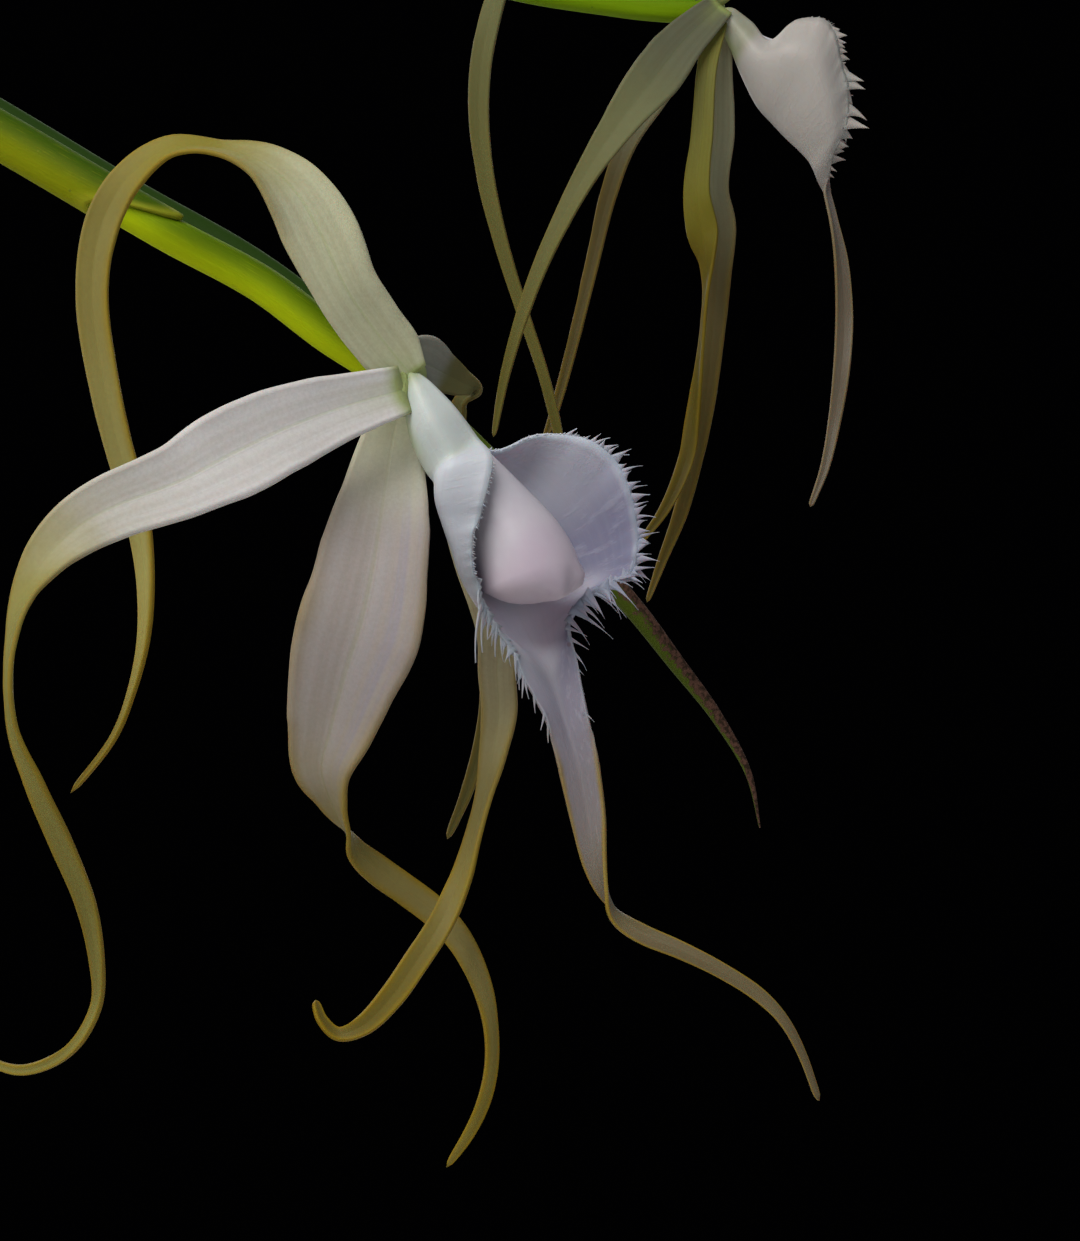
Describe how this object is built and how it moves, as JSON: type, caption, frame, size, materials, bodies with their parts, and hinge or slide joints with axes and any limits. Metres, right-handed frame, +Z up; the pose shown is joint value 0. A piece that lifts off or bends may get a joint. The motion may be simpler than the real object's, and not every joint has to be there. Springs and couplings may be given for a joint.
{
  "type": "potted orchid",
  "caption": "Orchid in a clay pot of bark: slender canes, rod-like leaves and flowers with long twisting ribbon tepals and a fringed lip.",
  "frame": {"origin": "middle of the pot's flat foot", "axes": "+Z up, +X towards the near flower, +Y away from the viewer"},
  "size_m": [0.3278, 0.3026, 0.32],
  "materials": {
    "clay": "unglazed fired clay, matt, with pale mineral bloom",
    "bark": "rough pine bark chips",
    "root": "dry silvery velamen, green at the tip",
    "stem": "smooth green stem, satin",
    "sheath": "dry papery sheath with fine ribs",
    "leaf": "leathery dark green, speckled purple-brown on the lit side, satin",
    "stalk": "fleshy yellow-green, satin",
    "tepal": "thin waxy petal, cream white with green veins, ochre margins and yellow-olive tails",
    "lip": "thin petal, white with a lavender tint, pale green claw, fringed edge",
    "column": "fleshy pinkish white, soft sheen"
  },
  "bodies": {
    "root": {"pot": "clay", "bark_mix": "bark", "rhizome": "stem", "cane_1": "stem", "cane_sheath_1": "sheath", "leaf_1": "leaf", "cane_2": "stem", "cane_sheath_2": "sheath", "leaf_2": "leaf", "cane_3": "stem", "cane_sheath_3": "sheath", "leaf_3": "leaf", "cane_4": "stem", "cane_sheath_4": "sheath", "leaf_4": "leaf", "cane_5": "stem", "cane_sheath_5": "sheath", "leaf_5": "leaf", "cane_6": "stem", "cane_sheath_6": "sheath", "leaf_6": "leaf", "cane_7": "stem", "cane_sheath_7": "sheath", "leaf_7": "leaf", "pedicel_1": "stalk", "spathe_1": "stalk", "pedicel_2": "stalk", "spathe_2": "stalk", "root_1": "root", "root_2": "root", "root_3": "root", "root_4": "root", "flower_1_dorsal_sepal": "tepal", "flower_1_near_petal": "tepal", "flower_1_far_petal": "tepal", "flower_1_near_sepal": "tepal", "flower_1_far_sepal": "tepal", "flower_1_lip": "lip", "flower_1_column": "column", "flower_2_dorsal_sepal": "tepal", "flower_2_near_petal": "tepal", "flower_2_far_petal": "tepal", "flower_2_near_sepal": "tepal", "flower_2_far_sepal": "tepal", "flower_2_lip": "lip", "flower_2_column": "column"}
  },
  "joints": []
}
